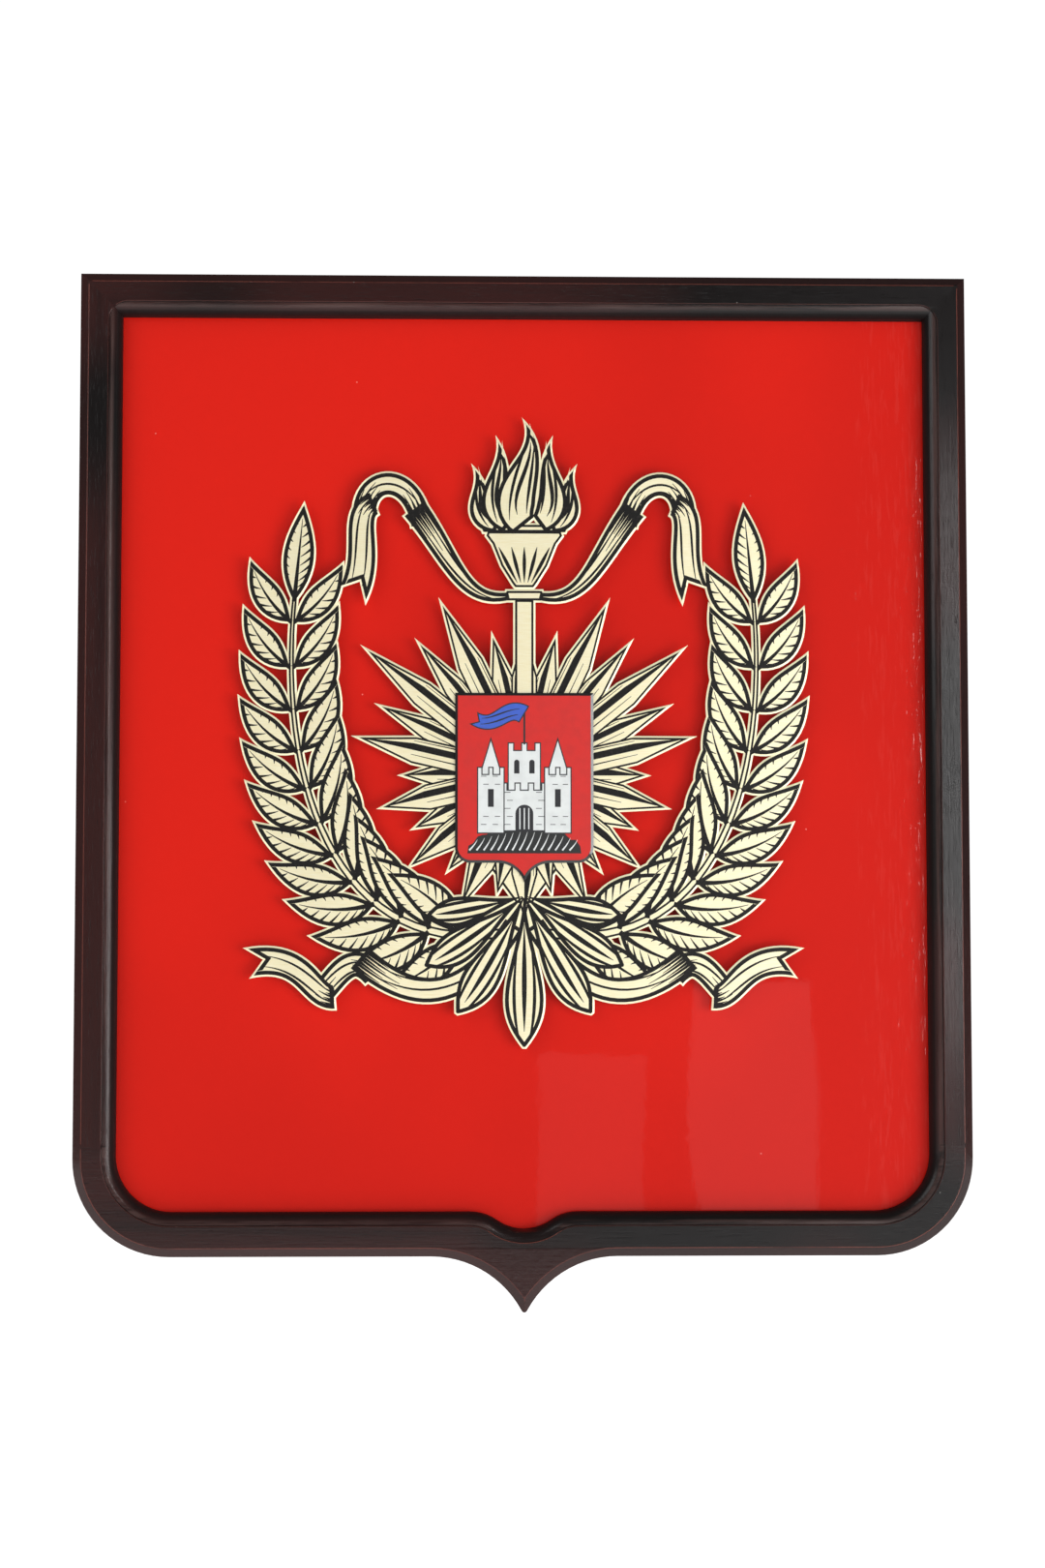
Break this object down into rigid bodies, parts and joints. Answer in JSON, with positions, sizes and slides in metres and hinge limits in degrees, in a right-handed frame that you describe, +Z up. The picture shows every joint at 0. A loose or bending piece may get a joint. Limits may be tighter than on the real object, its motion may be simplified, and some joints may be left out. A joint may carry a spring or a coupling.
{
  "type": "wooden plaque",
  "caption": "Shield-shaped dark wooden wall plaque with a moulded frame, a glossy red panel and a raised gold emblem with a small enamelled shield.",
  "frame": {"origin": "on the wall plane and the plaque's centre line, at the middle of the lower wall bumper's face", "axes": "+X to the right as seen from the front, +Y into the wall, +Z up; the front faces -Y"},
  "size_m": [0.4, 0.025, 0.4646],
  "materials": {
    "stained_wood": "dark stain, satin lacquer",
    "nail_steel": "plain",
    "dowel_wood": "bare beech",
    "backing_hardboard": "hardboard",
    "liner_card": "matt",
    "red_gloss": "high gloss",
    "screw_steel": "zinc plated",
    "hanger_steel": "zinc plated",
    "ring_steel": "zinc plated",
    "button_brass": "brass plated",
    "bumper_rubber": "matt",
    "shield_enamel": "gloss enamel",
    "emblem_gold": "satin, black line work",
    "spacer_plastic": "matt"
  },
  "bodies": {
    "plaque": {"top_rail": "stained_wood", "bottom_board": "stained_wood", "left_stile": "stained_wood", "right_stile": "stained_wood", "mitre_nails": "nail_steel", "stile_dowels": "dowel_wood", "backing_board": "backing_hardboard", "liner_board": "liner_card", "red_panel": "red_gloss", "turn_button_screws": "screw_steel", "left_hanger_strap": "hanger_steel", "right_hanger_strap": "hanger_steel", "hanger_screws": "screw_steel", "wall_bumpers": "bumper_rubber", "shield_plate": "shield_enamel", "emblem_plate": "emblem_gold", "emblem_spacers": "spacer_plastic"},
    "turn_button_top_left": {"turn_button_top_left": "button_brass"},
    "turn_button_top_right": {"turn_button_top_right": "button_brass"},
    "turn_button_left_upper": {"turn_button_left_upper": "button_brass"},
    "turn_button_left_lower": {"turn_button_left_lower": "button_brass"},
    "turn_button_right_upper": {"turn_button_right_upper": "button_brass"},
    "turn_button_right_lower": {"turn_button_right_lower": "button_brass"},
    "turn_button_bottom_left": {"turn_button_bottom_left": "button_brass"},
    "turn_button_bottom_right": {"turn_button_bottom_right": "button_brass"},
    "left_hanging_ring": {"left_hanging_ring": "ring_steel"},
    "right_hanging_ring": {"right_hanging_ring": "ring_steel"}
  },
  "joints": [
    {"name": "turn_button_top_left_turn", "type": "hinge", "parent": "plaque", "child": "turn_button_top_left", "pos_m": [-0.1, -0.0042, 0.44365], "axis": [0, 1, 0], "continuous": true},
    {"name": "turn_button_top_right_turn", "type": "hinge", "parent": "plaque", "child": "turn_button_top_right", "pos_m": [0.1, -0.0042, 0.44365], "axis": [0, 1, 0], "continuous": true},
    {"name": "turn_button_left_upper_turn", "type": "hinge", "parent": "plaque", "child": "turn_button_left_upper", "pos_m": [-0.19365, -0.0042, 0.2544], "axis": [0, 1, 0], "continuous": true},
    {"name": "turn_button_left_lower_turn", "type": "hinge", "parent": "plaque", "child": "turn_button_left_lower", "pos_m": [-0.19365, -0.0042, 0.09792], "axis": [0, 1, 0], "continuous": true},
    {"name": "turn_button_right_upper_turn", "type": "hinge", "parent": "plaque", "child": "turn_button_right_upper", "pos_m": [0.19365, -0.0042, 0.2544], "axis": [0, 1, 0], "continuous": true},
    {"name": "turn_button_right_lower_turn", "type": "hinge", "parent": "plaque", "child": "turn_button_right_lower", "pos_m": [0.19365, -0.0042, 0.09792], "axis": [0, 1, 0], "continuous": true},
    {"name": "turn_button_bottom_left_turn", "type": "hinge", "parent": "plaque", "child": "turn_button_bottom_left", "pos_m": [-0.1, -0.0042, 0.01675], "axis": [0, 1, 0], "continuous": true},
    {"name": "turn_button_bottom_right_turn", "type": "hinge", "parent": "plaque", "child": "turn_button_bottom_right", "pos_m": [0.1, -0.0042, 0.01675], "axis": [0, 1, 0], "continuous": true},
    {"name": "left_hanging_ring_swing", "type": "hinge", "parent": "plaque", "child": "left_hanging_ring", "pos_m": [-0.19365, -0.00302, 0.355], "axis": [1, 0, 0], "range_deg": [0, 180]},
    {"name": "right_hanging_ring_swing", "type": "hinge", "parent": "plaque", "child": "right_hanging_ring", "pos_m": [0.19365, -0.00302, 0.355], "axis": [1, 0, 0], "range_deg": [0, 180]}
  ]
}
